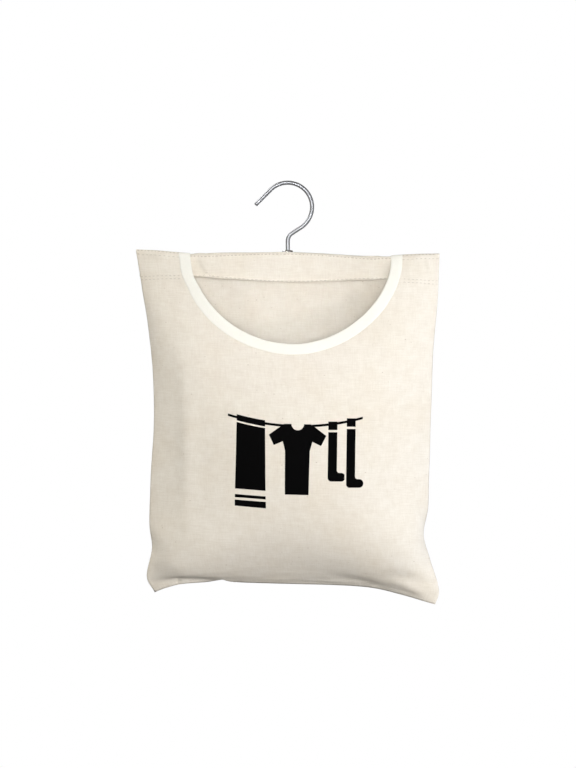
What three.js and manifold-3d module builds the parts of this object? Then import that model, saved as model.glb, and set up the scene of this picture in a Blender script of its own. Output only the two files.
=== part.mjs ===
// Peg bag: a canvas bag with a scooped, bound neck, hung from a wooden bar with a swivelling wire hook.
// Millimetres. +X to the right as seen from the front, +Y to the back, +Z up.
// The origin is the hook's seat: the inside of its bight, where it rests on a line or rail.

import * as THREE from 'three';
import { mergeVertices } from 'three/addons/utils/BufferGeometryUtils.js';
import Module from 'manifold-3d';

const wasm = await Module();
wasm.setup();

// Driving dimensions: hook
const wireDiameter = 4.2;
const hookRadius = 24.3; // centre line of the bight
const tailLength = 20;
const tailAngle = 45; // degrees above the horizontal, rising to the bight
const legAngle = 33; // degrees below the horizontal, falling to the stem
const stemBendRadius = 7;
const headDiameter = 7.2; // peened foot
const headHeight = 2.4;
const headFlatDiameter = 5; // where it was struck
const hookToCloth = 67.6; // hook seat to the cloth's top edge

// Driving dimensions: hanger bar
const barHeight = 15;
const barThickness = 12;
const barEndMargin = 22; // cloth beyond each end of the bar
const barCornerRadius = 5;
const barEdgeRadius = 1.5;
const washerDiameter = 9;
const washerThickness = 1;

// Driving dimensions: cloth and bag
const clothThickness = 1;
const bagWidth = 304;
const bagHeight = 332; // top edge to the bottom seam, at the middle
const cornerDrop = 15; // how far the bottom corners hang below the middle
const sideDrawIn = 14.5; // how far each side seam is pulled in by the filling
const cornerFlare = 8.5; // how far the bottom corners stand out again
const topSag = 4.2; // dip of the top edge between the hook and the corners
const bulgeFront = 55;
const bulgeBack = 50;
const hemGather = 5.5; // the channel's two layers come together over this height below the bar
const hemLip = 3; // flat stitched strip at the hem's edge
const foldRadius = 2.2; // outside of the fold over the bar

// Driving dimensions: neck
const neckWidth = 202.8; // raw edge to raw edge, at the top
const neckDepth = 91.9;
const tapeWidth = 9.5; // seen on the front
const tapeThickness = 0.6;

// Driving dimensions: eyelet
const eyeletFlangeDiameter = 11;
const eyeletRimDiameter = 8.4;
const eyeletWall = 0.5;
const eyeletDome = 1.7; // height of the flange
const eyeletRimHeight = 0.6;
const eyeletWasherDiameter = 10;
const eyeletWasherThickness = 0.5;

// Clearances
const gap = 0.3; // between pieces that touch
const stemClearance = 0.5; // round the stem, in the eyelet
const barClearance = 0.5; // between the bar's faces and the channel

// Shape of the bag
const fullestShare = 0.6; // share of the height where the bag is fullest
const frontFullness = 4.2; // how late the front turns in to the bottom seam
const backFullness = 2.7;
const topSquareness = 24; // the top is flat across and drops only at its ends
const bodySquareness = 2.6; // the body is round across
const squareShare = 0.5; // share of the height over which one turns into the other
const footSquareness = 8; // the body gets squarer again, by this much, down to the bottom seam
const waistShare = 0.5;
const flareStart = 0.82;
const flareEnd = 0.97;

// Fineness of the facets
const clothColumns = 22;
const frontRows = 20;
const backRows = 18;
const neckSteps = 44;
const roundSides = 28;
const wireSteps = 60;
const wireQuarters = 7;

const { smoothstep, clamp, lerp, degToRad } = THREE.MathUtils;

// Solids

function solidOf(geometry) {
  const bare = new THREE.BufferGeometry();
  bare.setAttribute('position', geometry.getAttribute('position'));
  if (geometry.index) bare.setIndex(geometry.index);
  const merged = mergeVertices(bare);
  const corners = merged.index.array;
  const faces = [];
  for (let i = 0; i < corners.length; i += 3) {
    const [a, b, c] = corners.slice(i, i + 3);
    if (a !== b && b !== c && c !== a) faces.push(a, b, c);
  }
  return new wasm.Manifold(new wasm.Mesh({
    numProp: 3,
    vertProperties: new Float32Array(merged.getAttribute('position').array),
    triVerts: new Uint32Array(faces),
  }));
}

function geometryOf(solid) {
  const mesh = solid.getMesh();
  const geometry = new THREE.BufferGeometry();
  geometry.setAttribute('position', new THREE.BufferAttribute(mesh.vertProperties, 3));
  geometry.setIndex(new THREE.BufferAttribute(mesh.triVerts, 1));
  geometry.computeVertexNormals();
  return geometry;
}

// A round, closed on itself or on the axis, turned about Z at the given height.
function turned(profile, height, sides = roundSides) {
  const points = profile.map(([radius, z]) => new THREE.Vector2(radius, z));
  const geometry = new THREE.LatheGeometry(points, sides);
  geometry.rotateX(Math.PI / 2);
  geometry.translate(0, 0, height);
  return geometry;
}

function ring(innerRadius, outerRadius, bottom, top) {
  const corners = [[innerRadius, bottom], [outerRadius, bottom], [outerRadius, top], [innerRadius, top]];
  return turned([...corners, corners[0]], 0);
}

function plug(radius, bottom, top) {
  return turned([[0, bottom], [radius, bottom], [radius, top], [0, top]], 0);
}

// Closes an outer and an inner grid of points into one thin skin.
function closedSheet(outer, inner) {
  const rows = outer.length;
  const columns = outer[0].length;
  const positions = [...outer.flat(), ...inner.flat()].flatMap((point) => point.toArray());
  const outerAt = (row, column) => row * columns + column;
  const innerAt = (row, column) => rows * columns + row * columns + column;
  const faces = [];
  const quad = (a, b, c, d) => faces.push(a, b, c, a, c, d);
  for (let row = 0; row + 1 < rows; row += 1) {
    for (let column = 0; column + 1 < columns; column += 1) {
      const next = column + 1;
      quad(outerAt(row, column), outerAt(row + 1, column), outerAt(row + 1, next), outerAt(row, next));
      quad(innerAt(row, column), innerAt(row, next), innerAt(row + 1, next), innerAt(row + 1, column));
    }
    quad(outerAt(row + 1, 0), outerAt(row, 0), innerAt(row, 0), innerAt(row + 1, 0));
    const last = columns - 1;
    quad(outerAt(row, last), outerAt(row + 1, last), innerAt(row + 1, last), innerAt(row, last));
  }
  for (let column = 0; column + 1 < columns; column += 1) {
    quad(outerAt(0, column), outerAt(0, column + 1), innerAt(0, column + 1), innerAt(0, column));
    const last = rows - 1;
    quad(outerAt(last, column + 1), outerAt(last, column), innerAt(last, column), innerAt(last, column + 1));
  }
  const geometry = new THREE.BufferGeometry();
  geometry.setAttribute('position', new THREE.Float32BufferAttribute(positions, 3));
  geometry.setIndex(faces);
  geometry.computeVertexNormals();
  return geometry;
}

// Shape of the hanging bag

const clothTop = -hookToCloth;
const topHalfWidth = bagWidth / 2;
const barTop = clothTop - topSag - clothThickness - gap;
const barBottom = barTop - barHeight;
const hemDepth = clothTop - barBottom + hemGather + hemLip;
const hemShare = hemDepth / bagHeight;

// Layers at the side seam, counted from the seam plane: back panel, hem, front panel.
const halfGap = gap / 2;
const layerPitch = clothThickness + gap;
const channelHalf = barThickness / 2 + barClearance; // inside of the channel
const channelSwell = channelHalf - halfGap;
const frontTopSwell = channelSwell + gap + tapeThickness;

// Columns lie closer together towards the side seams.
function acrossShares(count) {
  return Array.from({ length: count + 1 }, (_, i) => {
    const even = (2 * i) / count - 1;
    return (even + Math.sin((even * Math.PI) / 2)) / 2;
  });
}

function downShares(count, from = 0) {
  return Array.from({ length: count + 1 }, (_, i) => from + ((1 - from) * i) / count);
}

function halfWidth(down) {
  const waist = sideDrawIn * smoothstep(down, 0, waistShare);
  const flare = cornerFlare * smoothstep(down, flareStart, flareEnd);
  return topHalfWidth - waist + flare;
}

// Height of the cloth, dipping at the top edge and straight again at the hem.
function dippedHeight(across, depth) {
  const dip = topSag * Math.sin(Math.PI * Math.abs(across)) ** 2;
  return clothTop - depth - dip * (1 - smoothstep(depth, 0, hemDepth));
}

function heightAt(across, down) {
  return dippedHeight(across, down * bagHeight) - down * cornerDrop * Math.abs(across) ** 3;
}

// Share of the way from the fullest height down to the bottom seam.
function pastFullest(down) {
  return Math.max(0, (down - fullestShare) / (1 - fullestShare));
}

// How far the cloth stands off the seam plane across the bag: 1 at the middle, 0 at the seams.
function crossing(across, down) {
  const square = (1 - Math.min(down / squareShare, 1)) ** 4;
  const power = lerp(bodySquareness, topSquareness, square) + footSquareness * pastFullest(down) ** 3;
  return 1 - Math.abs(across) ** power;
}

// How the cloth swells from a starting height to the fullest, and turns in again to the bottom seam.
function swelling(down, start, fullness) {
  const climb = clamp((down - start) / (fullestShare - start), 0, 1);
  return { rise: Math.sin((climb * Math.PI) / 2), fall: 1 - pastFullest(down) ** fullness };
}

// Face of the front panel that looks into the bag, as a distance in front of the seam plane.
function frontFace(across, down) {
  const { rise, fall } = swelling(down, 0, frontFullness);
  const layered = halfGap + layerPitch * (1 - smoothstep(down, hemShare, 2 * hemShare));
  const depth = frontTopSwell * (1 - rise) + (bulgeFront - clothThickness - halfGap) * rise * fall;
  return layered + depth * crossing(across, down);
}

function backFace(across, down) {
  const { rise, fall } = swelling(down, hemShare, backFullness);
  return halfGap + (bulgeBack - clothThickness - halfGap) * rise * fall * crossing(across, down);
}

// A skin over the front of the bag, from one distance to another in front of the panel's inner face.
// It can start a share of the height above the top edge.
function frontSkin(inside, outside, above = 0) {
  const rows = above ? [-above, ...downShares(frontRows)] : downShares(frontRows);
  const layer = (distance) => rows.map((down) => acrossShares(clothColumns).map((across) => {
    const x = across * halfWidth(down);
    return new THREE.Vector3(x, -frontFace(across, down) - distance, heightAt(across, down));
  }));
  return solidOf(closedSheet(layer(outside), layer(inside)));
}

// A prism from front to back, as wide as the neck and with its round bottom, grown by a margin.
function neckPrism(margin) {
  const halfNeck = neckWidth / 2 + margin;
  const depth = neckDepth + margin;
  const above = barHeight;
  const outline = new THREE.Shape();
  outline.moveTo(-halfNeck, above);
  outline.lineTo(-halfNeck, 0);
  outline.absellipse(0, 0, halfNeck, depth, Math.PI, 2 * Math.PI, false);
  outline.lineTo(halfNeck, above);
  outline.closePath();
  const length = 2 * (bulgeFront + bulgeBack);
  const geometry = new THREE.ExtrudeGeometry(outline, {
    depth: length, bevelEnabled: false, curveSegments: neckSteps,
  });
  geometry.rotateX(Math.PI / 2);
  geometry.translate(0, length / 2, clothTop);
  return solidOf(geometry);
}

// Cloth pieces

function frontPanel() {
  return geometryOf(frontSkin(0, clothThickness).subtract(neckPrism(0)));
}

// Tape folded over the raw edge: a thick skin along the neck, less the room for the cloth inside it.
function neckBinding() {
  const reach = gap + tapeThickness;
  const tape = frontSkin(-reach, clothThickness + reach).intersect(neckPrism(tapeWidth - reach));
  const room = frontSkin(-gap, clothThickness + gap, hemShare / 4).subtract(neckPrism(-gap));
  return geometryOf(tape.subtract(neckPrism(-reach)).subtract(room));
}

// One row of the back panel: how far each face stands off the seam plane, and how far down it lies.
function straightRow(side, depth, swell) {
  const face = (base) => ({ depth, base, swell });
  return { side, inner: face(halfGap), outer: face(halfGap + clothThickness) };
}

// A row on the round of the fold over the bar, turned from upright (0) to flat (a quarter turn).
function roundRow(side, turn) {
  const face = (radius, base) => ({
    depth: foldRadius - radius * Math.sin(turn),
    base,
    swell: channelSwell - radius * (1 - Math.cos(turn)),
  });
  return {
    side,
    inner: face(foldRadius - clothThickness, halfGap),
    outer: face(foldRadius, halfGap + clothThickness),
  };
}

// The hem's edge, up in front of the bar, over it, and down behind it to the stitched line.
function channelRows(side) {
  const underBar = clothTop - barBottom;
  return [
    straightRow(side, hemDepth, 0),
    straightRow(side, hemDepth - hemLip, 0),
    straightRow(side, underBar, channelSwell),
    straightRow(side, (underBar + foldRadius) / 2, channelSwell),
    ...[0, Math.PI / 4, Math.PI / 2].map((turn) => roundRow(side, turn)),
  ];
}

function crownRow() {
  const flat = (depth) => ({ depth, base: 0, swell: 0 });
  return { side: 0, inner: flat(clothThickness), outer: flat(0) };
}

function backPanel() {
  const columns = acrossShares(clothColumns).reverse();
  const rows = [...channelRows(-1), crownRow(), ...channelRows(1).reverse()];
  const channelLayer = (face) => rows.map((row) => columns.map((across) => {
    const { depth, base, swell } = row[face];
    const y = row.side * (base + swell * crossing(across, 0));
    return new THREE.Vector3(across * halfWidth(depth / bagHeight), y, dippedHeight(across, depth));
  }));
  const body = downShares(backRows, hemShare).slice(1);
  const bodyLayer = (distance) => body.map((down) => columns.map((across) => {
    const x = across * halfWidth(down);
    return new THREE.Vector3(x, backFace(across, down) + distance, heightAt(across, down));
  }));
  const outer = [...channelLayer('outer'), ...bodyLayer(clothThickness)];
  const inner = [...channelLayer('inner'), ...bodyLayer(0)];
  const hole = plug(eyeletBarrelRadius + gap, barTop + gap, clothTop + clothThickness);
  return geometryOf(solidOf(closedSheet(outer, inner)).subtract(solidOf(hole)));
}

// Hook and what carries it

const eyeletBore = wireDiameter / 2 + stemClearance;
const eyeletBarrelRadius = eyeletBore + eyeletWall;
const washerSeat = barBottom + 3 * gap + washerThickness + headHeight;
const washerTop = washerSeat - gap;
const headTop = washerTop - washerThickness - gap;

// Centre line of the wire, from the tip of the tail to the foot of the stem, as arcs and straights.
class HookCurve extends THREE.Curve {
  constructor() {
    super();
    const centre = new THREE.Vector2(0, wireDiameter / 2 - hookRadius);
    const tail = degToRad(90 + tailAngle);
    const leg = degToRad(legAngle - 90);
    const along = (angle) => new THREE.Vector2(Math.cos(angle), Math.sin(angle));
    const start = centre.clone().addScaledVector(along(tail), hookRadius);
    const tip = start.clone().addScaledVector(along(tail + Math.PI / 2), tailLength);
    const end = centre.clone().addScaledVector(along(leg), hookRadius);
    const legWay = along(leg - Math.PI / 2);
    const bendStartX = stemBendRadius * (1 - Math.cos(leg));
    const bendStart = end.clone().addScaledVector(legWay, (bendStartX - end.x) / legWay.x);
    const bendCentre = bendStart.clone().addScaledVector(along(leg), stemBendRadius);
    const foot = new THREE.Vector2(0, headTop - headHeight / 2);
    this.pieces = [
      { line: [tip, start] },
      { arc: centre, radius: hookRadius, from: tail, to: leg },
      { line: [end, bendStart] },
      { arc: bendCentre, radius: stemBendRadius, from: leg + Math.PI, to: Math.PI },
      { line: [new THREE.Vector2(0, bendCentre.y), foot] },
    ];
    this.lengths = this.pieces.map(({ line, radius, from, to }) => (
      line ? line[0].distanceTo(line[1]) : radius * Math.abs(to - from)));
    this.total = this.lengths.reduce((sum, length) => sum + length, 0);
  }

  getPoint(share, target = new THREE.Vector3()) {
    let rest = share * this.total;
    let index = 0;
    while (index + 1 < this.pieces.length && rest > this.lengths[index]) {
      rest -= this.lengths[index];
      index += 1;
    }
    const { line, arc, radius, from, to } = this.pieces[index];
    const part = rest / this.lengths[index];
    if (line) {
      const point = line[0].clone().lerp(line[1], part);
      return target.set(point.x, 0, point.y);
    }
    const angle = lerp(from, to, part);
    return target.set(arc.x + radius * Math.cos(angle), 0, arc.y + radius * Math.sin(angle));
  }
}

function hook() {
  const section = new THREE.Shape();
  section.absarc(0, 0, wireDiameter / 2, 0, 2 * Math.PI, false);
  const wire = new THREE.ExtrudeGeometry(section, {
    extrudePath: new HookCurve(), steps: wireSteps, curveSegments: wireQuarters, bevelEnabled: false,
  });
  const headRadius = headDiameter / 2;
  const head = turned([
    [0, -headHeight],
    [headFlatDiameter / 2, -headHeight],
    [headRadius, -headHeight / 2],
    [headRadius, 0],
    [0, 0],
  ], headTop);
  return geometryOf(solidOf(wire).add(solidOf(head)));
}

// A batten with rounded ends and eased edges, bored for the stem and counterbored for washer and foot.
function hangerBar() {
  const halfLength = topHalfWidth - barEndMargin - barEdgeRadius;
  const halfHeight = barHeight / 2 - barEdgeRadius;
  const round = barCornerRadius - barEdgeRadius;
  const outline = new THREE.Shape();
  outline.moveTo(-halfLength + round, -halfHeight);
  outline.absarc(halfLength - round, -halfHeight + round, round, -Math.PI / 2, 0, false);
  outline.absarc(halfLength - round, halfHeight - round, round, 0, Math.PI / 2, false);
  outline.absarc(-halfLength + round, halfHeight - round, round, Math.PI / 2, Math.PI, false);
  outline.absarc(-halfLength + round, -halfHeight + round, round, Math.PI, 1.5 * Math.PI, false);
  const depth = barThickness - 2 * barEdgeRadius;
  const geometry = new THREE.ExtrudeGeometry(outline, {
    depth, curveSegments: 6, bevelSize: barEdgeRadius, bevelThickness: barEdgeRadius, bevelSegments: 3,
  });
  geometry.rotateX(Math.PI / 2);
  geometry.translate(0, depth / 2, (barTop + barBottom) / 2);
  const bore = plug(wireDiameter / 2 + gap, barBottom - barHeight, barTop + barHeight);
  const counterbore = plug(washerDiameter / 2 + gap, barBottom - barHeight, washerSeat);
  return geometryOf(solidOf(geometry).subtract(solidOf(bore)).subtract(solidOf(counterbore)));
}

function hookWasher() {
  return ring(wireDiameter / 2 + gap, washerDiameter / 2, washerTop - washerThickness, washerTop);
}

const eyeletWasherTop = clothTop - clothThickness - gap;

function eyelet() {
  const flange = eyeletFlangeDiameter / 2;
  const seat = clothTop + gap;
  const rim = eyeletRimDiameter / 2;
  const rimTop = eyeletWasherTop - eyeletWasherThickness - gap;
  const foot = rimTop - eyeletRimHeight;
  const profile = [
    [eyeletBore, foot], [rim, foot], [rim, rimTop], [eyeletBarrelRadius, rimTop], [eyeletBarrelRadius, seat],
    [flange, seat], [flange - eyeletWall / 2, seat + eyeletDome / 2],
    [(flange + eyeletBore) / 2, seat + eyeletDome], [eyeletBore + eyeletWall / 2, seat + eyeletDome],
    [eyeletBore, seat + eyeletDome / 2],
  ];
  return turned([...profile, profile[0]], 0);
}

function eyeletWasher() {
  const bore = eyeletBarrelRadius + gap;
  return ring(bore, eyeletWasherDiameter / 2, eyeletWasherTop - eyeletWasherThickness, eyeletWasherTop);
}

// Assembly

const canvas = { color: 0xe9dfcb, roughness: 0.95, metalness: 0 };
const tape = { color: 0xf8f4e6, roughness: 0.9, metalness: 0 };
const pine = { color: 0xd9b98a, roughness: 0.7, metalness: 0 };
const platedSteel = { color: 0xc4c6c8, roughness: 0.25, metalness: 1 };

const pegBag = new THREE.Group();

function addPiece(name, geometry, finish) {
  const mesh = new THREE.Mesh(geometry, new THREE.MeshStandardMaterial(finish));
  mesh.name = name;
  pegBag.add(mesh);
}

addPiece('hook', hook(), platedSteel);
addPiece('hook_washer', hookWasher(), platedSteel);
addPiece('hanger_bar', hangerBar(), pine);
addPiece('eyelet', eyelet(), platedSteel);
addPiece('eyelet_washer', eyeletWasher(), platedSteel);
addPiece('front_panel', frontPanel(), canvas);
addPiece('back_panel', backPanel(), canvas);
addPiece('neck_binding', neckBinding(), tape);

export default pegBag;
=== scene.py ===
import math

import bmesh
import bpy
import numpy as np
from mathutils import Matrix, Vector, noise
from mathutils.bvhtree import BVHTree
from mathutils.geometry import barycentric_transform, delaunay_2d_cdt


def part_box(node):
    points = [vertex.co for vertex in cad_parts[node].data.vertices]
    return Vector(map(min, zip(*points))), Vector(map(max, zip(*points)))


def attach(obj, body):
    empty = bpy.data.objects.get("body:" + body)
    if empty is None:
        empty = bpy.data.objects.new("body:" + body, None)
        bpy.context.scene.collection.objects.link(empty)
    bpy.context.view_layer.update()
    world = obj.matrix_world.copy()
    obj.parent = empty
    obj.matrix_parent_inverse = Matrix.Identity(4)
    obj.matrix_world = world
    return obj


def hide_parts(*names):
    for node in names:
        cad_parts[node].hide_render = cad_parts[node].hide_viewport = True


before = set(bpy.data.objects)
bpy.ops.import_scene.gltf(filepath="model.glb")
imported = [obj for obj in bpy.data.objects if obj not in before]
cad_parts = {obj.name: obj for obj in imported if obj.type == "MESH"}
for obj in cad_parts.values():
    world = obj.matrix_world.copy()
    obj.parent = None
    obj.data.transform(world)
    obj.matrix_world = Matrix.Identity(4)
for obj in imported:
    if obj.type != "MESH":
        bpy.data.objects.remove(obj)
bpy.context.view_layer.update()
scene = bpy.context.scene
print("frame:", len(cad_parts), "nodes")

# Shape of the hanging bag, in metres. Seams are seen from the front, as x and z.

bag = {
    "width": 0.304,  # seam to seam, laid flat
    "height": 0.348,  # top edge to bottom seam, laid flat
    "lean": 0.005,  # how much longer the right side is than the left
    "pitch": 0.004,  # spacing of the simulated threads
    "cloth": 0.0008,
    "layerGap": 0.0001,
    "seamHalf": 0.0009,  # outer face of a panel at the seam
    "topMiddle": -0.0675,
    "topTilt": -0.0132,  # the right side hangs a little lower
    "topSag": 0.0034,
    "sagPeak": 1.2,  # more than 1 moves the two dips outward
    "hemMiddle": -0.0980,
    "hemRise": 0.0042,
    "hemReach": 0.100,  # from the middle to where the hem is level again
    "hemLip": 0.0026,  # hem's stitches to its edge
    "hemRoll": ((0.0005, 0.0006), (0.0008, 0.0013), (0.0006, 0.0020), (-0.0002, 0.0026)),  # out and down
    "hemFront": 0.0055,  # how far in front of the seams' plane the hem is stitched
    "hemTurn": 0.7,  # share of the bar where the hem starts to go back to that plane
    "channelHalf": 0.0094,  # half depth of the channel at the bar
    "channelRound": 0.0032,
    "barEnd": 0.131,
    "barTaper": 0.003,  # the channel narrows from this far inside the bar's end
    "cornerFlat": 0.001,  # and is flat this far from the seam
    "wallEnd": 0.0024,  # above the bar's underside, where the channel's back wall turns in under it
    "barDrop": 0.0011,  # cloth under the bar, at least this far below it
    "barCover": 0.6,  # share of the channel's half depth that lies under the bar
}

leftSeam = [
    (-0.1518, -0.0646), (-0.1453, -0.1050), (-0.1367, -0.1650), (-0.1337, -0.2300), (-0.1370, -0.2900),
    (-0.1383, -0.3380), (-0.1357, -0.3630), (-0.1415, -0.3920), (-0.1338, -0.4085),
]
rightSeam = [
    (0.1517, -0.0686), (0.1496, -0.1190), (0.1455, -0.1650), (0.1432, -0.2300), (0.1412, -0.2950),
    (0.1402, -0.3240), (0.1357, -0.3490), (0.1419, -0.3730), (0.1512, -0.4040), (0.1473, -0.4194),
]
bottomSeam = [
    (-0.1338, -0.4085), (-0.1200, -0.4030), (-0.1040, -0.3990), (-0.0820, -0.3972), (-0.0624, -0.3946),
    (-0.0480, -0.3975), (0.0100, -0.3994), (0.0462, -0.4004), (0.0812, -0.4026), (0.1100, -0.4088),
    (0.1473, -0.4194),
]


def smooth(value, low, high):
    t = np.clip((value - low) / (high - low), 0, 1)
    return t * t * (3 - 2 * t)


def curveThrough(points, count=600):  # smooth line through a few points, evenly spaced along its length
    p = np.array(points, float)
    p = np.vstack([2 * p[0] - p[1], p, 2 * p[-1] - p[-2]])
    t = np.linspace(0, len(points) - 1, count)
    i = np.minimum(t.astype(int), len(points) - 2)
    f = (t - i)[:, None]
    a, b, c, d = p[i], p[i + 1], p[i + 2], p[i + 3]
    line = b + f * (c - a) / 2 + f**2 * (2 * a - 5 * b + 4 * c - d) / 2 + f**3 * (3 * b - a - 3 * c + d) / 2
    passed = np.concatenate([[0], np.cumsum(np.linalg.norm(np.diff(line, axis=0), axis=1))])
    even = np.linspace(0, passed[-1], count)
    return np.column_stack([np.interp(even, passed, column) for column in line.T])


def along(line, share):
    place = np.clip(share, 0, 1) * (len(line) - 1)
    return np.stack([np.interp(place, np.arange(len(line)), column) for column in line.T], axis=-1)


leftLine, rightLine, bottomLine = (curveThrough(points) for points in (leftSeam, rightSeam, bottomSeam))


def topEdge(x):
    share = np.clip(np.abs(x) / (bag["width"] / 2), 0, 1) ** bag["sagPeak"]
    return bag["topMiddle"] + bag["topTilt"] * x - bag["topSag"] * np.sin(np.pi * share) ** 2


def hemEdge(x):
    share = np.clip(np.abs(x) / bag["hemReach"], 0, 1)
    return bag["hemMiddle"] + bag["topTilt"] * x + bag["hemRise"] * (1 - np.cos(np.pi * share)) / 2


def hemRow(x):  # height of the hem's stitches
    return hemEdge(x) + bag["hemLip"]


def hemDepth(x):  # top edge down to the hem's stitches
    return topEdge(x) - hemEdge(x) - bag["hemLip"]


def channelHalf(x):  # full over the bar, flat at the corners
    out = smooth(np.abs(x), bag["barEnd"] - bag["barTaper"], bag["width"] / 2 - bag["cornerFlat"])
    return bag["channelHalf"] + (bag["seamHalf"] - bag["channelHalf"]) * out


def hemStand(x):  # how far the two layers at the hem's stitches lie in front of the seams' plane
    return bag["hemFront"] * (1 - smooth(np.abs(x), bag["hemTurn"] * bag["barEnd"], bag["width"] / 2))


def channelBend(x):  # radius of the channel's two upper corners
    return np.minimum(bag["channelRound"], 0.9 * channelHalf(x))


def seamHeight(across):
    return bag["height"] + bag["lean"] * (across - 0.5)


def hung(across, down):  # x and z of a point of the cloth, between the seams
    s, t = across[:, None], down[:, None]
    topX = leftLine[0][0] + (rightLine[0][0] - leftLine[0][0]) * across
    top = np.column_stack([topX, topEdge(topX)])
    sides = (1 - s) * along(leftLine, down) + s * along(rightLine, down)
    ends = (1 - t) * top + t * along(bottomLine, across)
    corners = (1 - t) * ((1 - s) * leftLine[0] + s * rightLine[0])
    corners = corners + t * ((1 - s) * leftLine[-1] + s * rightLine[-1])
    return sides + ends - corners


# Panels: cut flat, held at their seams and filled out by pressure

neck = {
    "halfWidth": 0.1012,
    "depth": 0.0905,
    "shift": 0.0026,  # the scoop's middle, right of the bag's
    "fullLeft": 2.06,  # 2 is a true ellipse, more is squarer
    "fullRight": 1.84,
    "steps": 84,
}

filling = {
    "frames": 50,
    "hangFrames": 16,  # while the seams move from flat to hanging
    "gravity": 0.02,
    "sideCurve": 2.4,  # how soon a panel swells away from its side seams
    "pushGrows": (0.2, 0.6),  # shares of the way down
    "pushFades": 0.65,
    "shoulderFall": 0.45,  # share of the way down where the shoulders stand out no more
    "shoulderSide": 0.06,  # and of the way in from a side seam, where they stand out in full
    "lumpSize": 0.055,
    "lumps": 0.35,
    "easeRounds": 40,  # small buckles are evened out after the run
    "ease": 0.06,
    "bottomEase": 0.50,
    "bottomZone": (0.78, 0.92),  # shares of the way down, where the second takes over
    "levelSlope": 0.4,  # a thread flatter than this runs along the bottom seam
    "cornerBack": 0.015,  # how far the lower left corner swings behind the seams
    "cornerReach": 0.036,
    "cornerCurve": 1.25,
}
frontFill = {"bulge": 0.040, "peak": 1.4, "leastPush": 0.10, "fade": 0.8, "seed": 3.7}
backFill = {"bulge": 0.036, "peak": 1.3, "leastPush": 0.15, "fade": 0.3, "seed": 11.3}

clothSettings = {
    "quality": 8,
    "mass": 0.001,
    "tension_stiffness": 60,
    "compression_stiffness": 60,
    "shear_stiffness": 0.6,
    "bending_stiffness": 2.5,
    "tension_damping": 4,
    "compression_damping": 4,
    "shear_damping": 4,
    "bending_damping": 0.5,
    "air_damping": 2,
    "vertex_group_mass": "held",
    "use_pressure": True,
    "uniform_pressure_force": 360,
    "vertex_group_pressure": "push",
}


def run(start, end):  # points from start up to end, a thread apart
    start, end = np.array(start), np.array(end)
    count = max(1, round(float(np.linalg.norm(end - start)) / bag["pitch"]))
    return [tuple(start + (end - start) * i / count) for i in range(count)]


def neckShares(angle, power):  # how far out and how far down, each raised to a power of its side
    full = neck["fullLeft"] if math.cos(angle) > 0 else neck["fullRight"]
    out, down = abs(math.cos(angle)) ** power(full), abs(math.sin(angle)) ** power(full)
    return math.copysign(out, math.cos(angle)), down


def neckPoint(angle):  # on the scoop's raw edge
    out, down = neckShares(angle, lambda full: 2 / full)
    return neck["shift"] - neck["halfWidth"] * out, -neck["depth"] * down


def neckInward(angle):  # from the raw edge into the cloth
    out, down = neckShares(angle, lambda full: 2 - 2 / full)
    return Vector((-out / neck["halfWidth"], -down / neck["depth"])).normalized()


def neckStart(depth, full):  # the angle where the scoop is this deep
    return math.asin((depth / neck["depth"]) ** (full / 2))


def lowerOutline(topRight, topLeft):  # down the right side, along the bottom and up the left side
    w = bag["width"] / 2
    right, left = (w, -seamHeight(1)), (-w, -seamHeight(0))
    return run(topRight, right) + run(right, left) + run(left, topLeft)


def frontOutline():  # gives the outline, and how many points the two shoulders and the scoop between have
    w = bag["width"] / 2
    scoop = [neckPoint(math.pi * i / neck["steps"]) for i in range(1, neck["steps"])]
    leftEnd, rightEnd = neckPoint(0), neckPoint(math.pi)
    shoulders = [run((-w, 0), leftEnd) + [leftEnd], run(rightEnd, (w, 0)) + [(w, 0)]]
    left, right = ([(u, -float(channelBend(u))) for u, v in points] for points in shoulders)
    outline = left + scoop + right[:-1] + lowerOutline(right[-1], left[0])
    return outline, len(left), len(scoop), len(right)


def backOutline():
    w = bag["width"] / 2
    across = [point[0] for point in run((-w, 0), (w, 0))] + [w]
    hem = [(x, -float(hemDepth(x))) for x in across]
    return hem[:-1] + lowerOutline(hem[-1], hem[0])


def cutCloth(outline, side):  # threads laid flat inside an outline, facing front (-1) or back (1)
    points, p, w = np.array(outline), bag["pitch"], bag["width"] / 2
    s, t = np.meshgrid(*(np.linspace(0, 1, round(n / p) + 1)[1:-1] for n in (2 * w, bag["height"])))
    inside = np.column_stack([(2 * s.ravel() - 1) * w, -t.ravel() * seamHeight(s.ravel())])
    nearest = np.sqrt(((inside[:, None, :] - points[None, :, :]) ** 2).sum(-1)).min(1)
    clear = 0.62 * p
    coords = [Vector(c) for c in np.vstack([points, inside[nearest > clear]])]
    loop = list(range(len(points)))[::-1]
    verts, _, faces, *_ = delaunay_2d_cdt(coords, [], [loop], 1, 1e-7)
    bm = bmesh.new()
    made = [bm.verts.new((c.x, 0, c.y)) for c in verts]
    for face in faces:
        bm.faces.new([made[i] for i in face])
    bm.normal_update()
    limit = math.radians(30)
    bmesh.ops.join_triangles(bm, faces=bm.faces[:], angle_face_threshold=limit, angle_shape_threshold=limit)
    bm.normal_update()
    bm.verts.index_update()
    flat = np.array([(v.co.x, v.co.z) for v in bm.verts])
    edge = np.array([v.is_boundary for v in bm.verts])
    cells = []
    for face in bm.faces:
        cell = [v.index for v in face.verts]
        cells.append(cell if face.normal.y * side > 0 else cell[::-1])
    bm.free()
    return flat, cells, edge


def shares(flat):
    across = flat[:, 0] / bag["width"] + 0.5
    return across, -flat[:, 1] / seamHeight(across)


def noiseAt(flat, size, seed):  # one size, or one across and one up
    across, up = size if isinstance(size, tuple) else (size, size)
    return np.array([noise.noise(Vector((u / across, seed, v / up))) for u, v in flat])


def swell(fill, inward, down):
    return fill["bulge"] * (1 - (1 - inward) ** filling["sideCurve"]) * np.sin(np.pi * down ** fill["peak"])


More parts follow.
